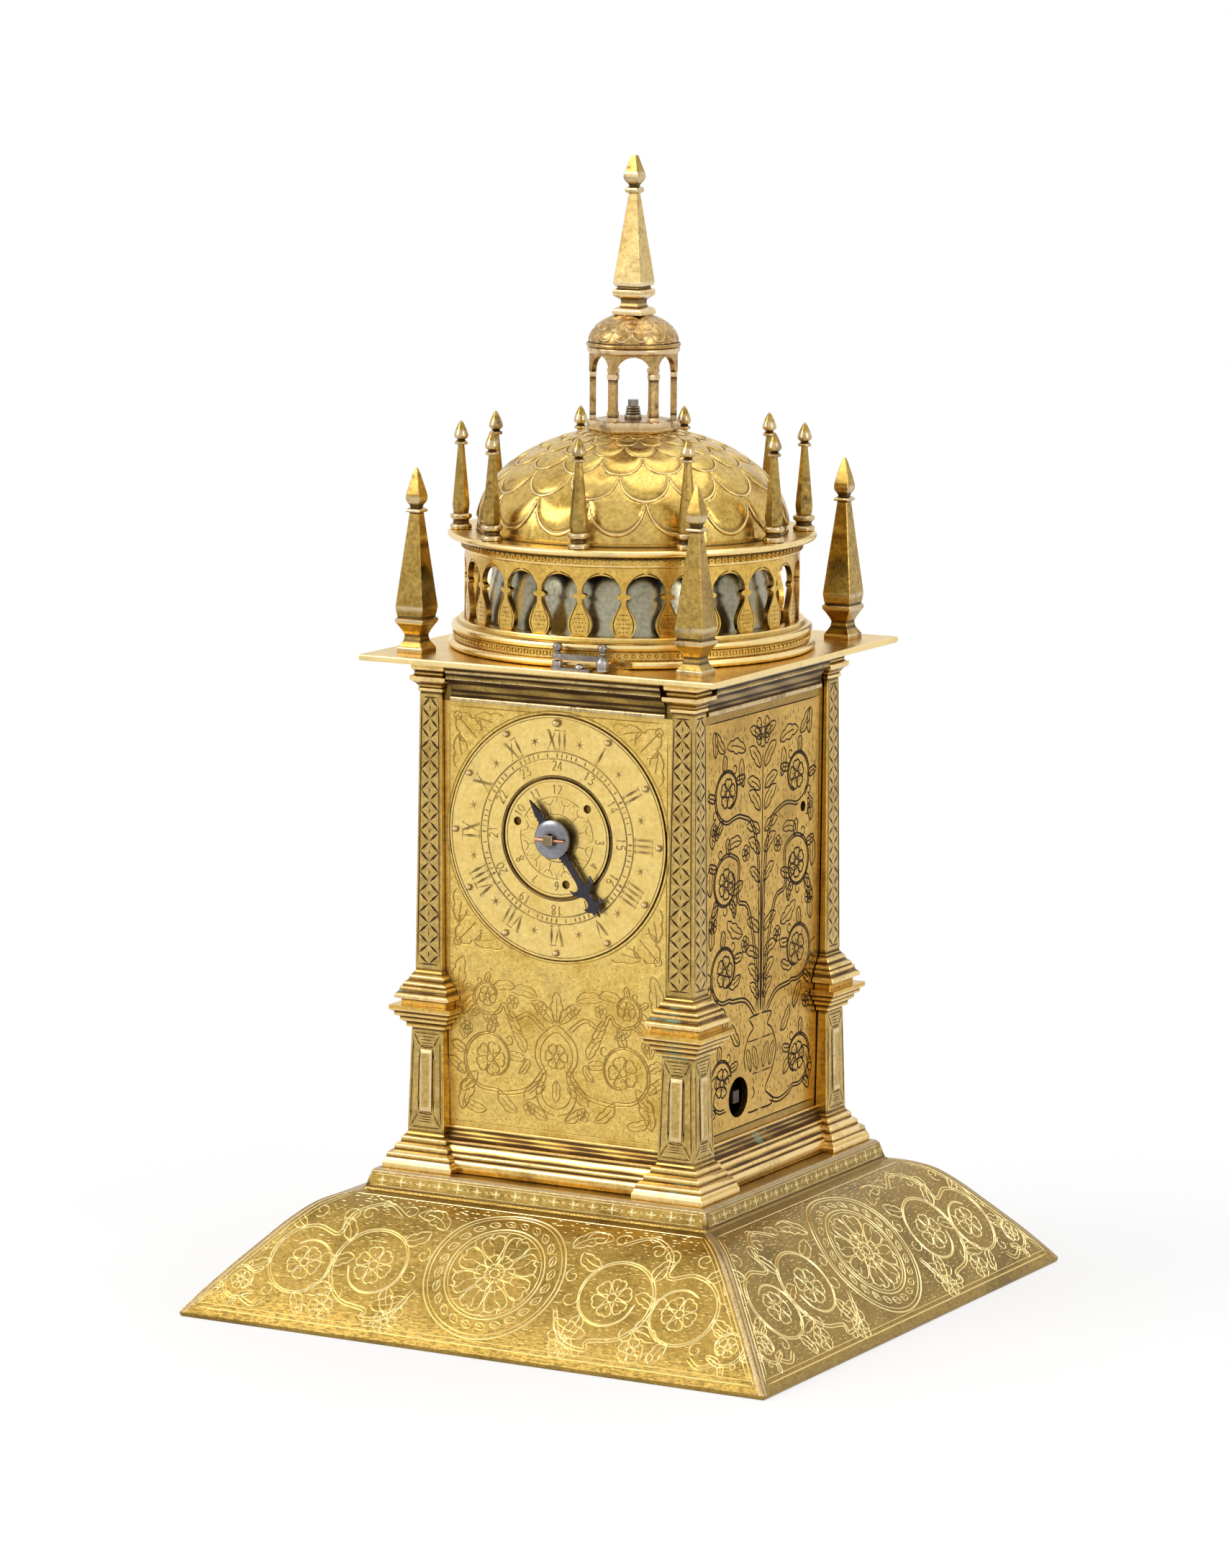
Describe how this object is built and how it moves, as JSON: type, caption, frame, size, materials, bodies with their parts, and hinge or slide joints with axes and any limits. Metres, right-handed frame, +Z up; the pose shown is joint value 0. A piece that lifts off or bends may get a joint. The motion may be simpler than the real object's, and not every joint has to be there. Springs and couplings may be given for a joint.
{
  "type": "tower table clock",
  "caption": "Gilt tower table clock: square case with dial on a hollow foot, corner pilasters and obelisks, bell drum with dome, lantern and spire.",
  "frame": {"origin": "on the table, under the middle of the square foot", "axes": "+Z up; the dial faces -Y; the side with the alarm winding hole faces +X"},
  "size_m": [0.1832, 0.1832, 0.32],
  "materials": {
    "gilt_brass": "fire-gilt, worn, with brown patina in the recesses",
    "dial_gilt": "pale gilt, engraved",
    "coppery_gilt": "coppery gilt, worn",
    "movement_brass": "filed brass",
    "forged_steel": "filed steel with brown tarnish",
    "blued_steel": "dark blued steel",
    "bell_metal": "grey bell bronze, dull"
  },
  "bodies": {
    "case": {"foot": "gilt_brass", "plinth_frame": "gilt_brass", "pedestal_front_left": "gilt_brass", "pedestal_front_right": "gilt_brass", "pedestal_rear_right": "gilt_brass", "pedestal_rear_left": "gilt_brass", "pilaster_front_left": "gilt_brass", "pilaster_front_right": "gilt_brass", "pilaster_rear_right": "gilt_brass", "pilaster_rear_left": "gilt_brass", "front_panel": "gilt_brass", "right_panel": "gilt_brass", "rear_panel": "gilt_brass", "left_panel": "gilt_brass", "cornice_frame": "gilt_brass", "gallery_plate": "gilt_brass", "obelisk_front_left": "gilt_brass", "obelisk_front_right": "gilt_brass", "obelisk_rear_right": "gilt_brass", "obelisk_rear_left": "gilt_brass", "chapter_ring": "dial_gilt", "movement_front_plate": "movement_brass", "movement_back_plate": "movement_brass", "balance_cock": "movement_brass", "alarm_frame": "movement_brass", "latch_post": "forged_steel"},
    "bell_housing": {"drum_base_ring": "gilt_brass", "drum_arcade": "gilt_brass", "drum_cornice": "gilt_brass", "spirelet_01": "gilt_brass", "spirelet_02": "gilt_brass", "spirelet_03": "gilt_brass", "spirelet_04": "gilt_brass", "spirelet_05": "gilt_brass", "spirelet_06": "gilt_brass", "spirelet_07": "gilt_brass", "spirelet_08": "gilt_brass", "spirelet_09": "gilt_brass", "spirelet_10": "gilt_brass", "dome": "gilt_brass", "spire": "gilt_brass", "lantern": "coppery_gilt", "cupola": "coppery_gilt", "bell": "bell_metal", "bell_bolt": "forged_steel", "bell_nut": "forged_steel"},
    "latch_hasp": {"latch_hasp": "forged_steel"},
    "hour_work": {"hour_arbor": "movement_brass", "hour_hand": "blued_steel", "hand_collet": "blued_steel"},
    "alarm_disc": {"alarm_disc": "dial_gilt"},
    "going_barrel": {"going_barrel": "movement_brass"},
    "centre_wheel": {"centre_wheel": "movement_brass"},
    "third_wheel": {"third_wheel": "movement_brass"},
    "crown_wheel": {"crown_wheel": "movement_brass"},
    "balance": {"balance": "forged_steel"},
    "alarm_winding_arbor": {"alarm_winding_arbor": "forged_steel"},
    "alarm_barrel": {"alarm_barrel": "movement_brass"},
    "alarm_pin_wheel": {"alarm_pin_wheel": "movement_brass"},
    "hammer": {"hammer": "forged_steel"}
  },
  "joints": [
    {"name": "bell_housing_lift", "type": "slide", "parent": "case", "child": "bell_housing", "axis": [0, 0, 1], "range_m": [0, 0.07]},
    {"name": "latch_swing", "type": "hinge", "parent": "case", "child": "latch_hasp", "pos_m": [0.0064, -0.0532, 0.19], "axis": [0, 0, -1], "range_deg": [0, 120]},
    {"name": "hour_work_turn", "type": "hinge", "parent": "case", "child": "hour_work", "pos_m": [0, -0.04, 0.1352], "axis": [0, 1, 0], "continuous": true},
    {"name": "alarm_disc_set", "type": "hinge", "parent": "hour_work", "child": "alarm_disc", "pos_m": [0, -0.0415, 0.1352], "axis": [0, 1, 0], "continuous": true},
    {"name": "going_barrel_turn", "type": "hinge", "parent": "case", "child": "going_barrel", "pos_m": [0, -0.01, 0.116], "axis": [0, 1, 0], "continuous": true},
    {"name": "centre_wheel_turn", "type": "hinge", "parent": "case", "child": "centre_wheel", "pos_m": [0.014, -0.01, 0.12914], "axis": [0, 1, 0], "continuous": true},
    {"name": "third_wheel_turn", "type": "hinge", "parent": "case", "child": "third_wheel", "pos_m": [0, -0.01, 0.14228], "axis": [0, 1, 0], "continuous": true},
    {"name": "crown_wheel_turn", "type": "hinge", "parent": "case", "child": "crown_wheel", "pos_m": [-0.0125, -0.01, 0.15685], "axis": [0, 1, 0], "continuous": true},
    {"name": "balance_swing", "type": "hinge", "parent": "case", "child": "balance", "pos_m": [-0.0125, 0.01115, 0.16], "axis": [0, 0, 1], "range_deg": [-40, 40]},
    {"name": "alarm_winding", "type": "hinge", "parent": "case", "child": "alarm_winding_arbor", "pos_m": [0, -0.0128, 0.062], "axis": [1, 0, 0], "continuous": true},
    {"name": "alarm_barrel_turn", "type": "hinge", "parent": "case", "child": "alarm_barrel", "pos_m": [0, -0.0128, 0.062], "axis": [1, 0, 0], "continuous": true},
    {"name": "alarm_pin_wheel_turn", "type": "hinge", "parent": "case", "child": "alarm_pin_wheel", "pos_m": [0, 0.0034, 0.07231], "axis": [1, 0, 0], "continuous": true},
    {"name": "hammer_swing", "type": "hinge", "parent": "case", "child": "hammer", "pos_m": [0.021, 0.015, 0.15], "axis": [0, 0, 1], "range_deg": [-14, 0.5], "stiffness_Nm_per_rad": 0.02}
  ],
  "couplings": [
    {"joint": "centre_wheel_turn", "follows": "third_wheel_turn", "ratio": -0.33333},
    {"joint": "going_barrel_turn", "follows": "third_wheel_turn", "ratio": 0.11111},
    {"joint": "hour_work_turn", "follows": "third_wheel_turn", "ratio": -0.037037},
    {"joint": "crown_wheel_turn", "follows": "third_wheel_turn", "ratio": -3},
    {"joint": "alarm_pin_wheel_turn", "follows": "alarm_barrel_turn", "ratio": -3}
  ]
}
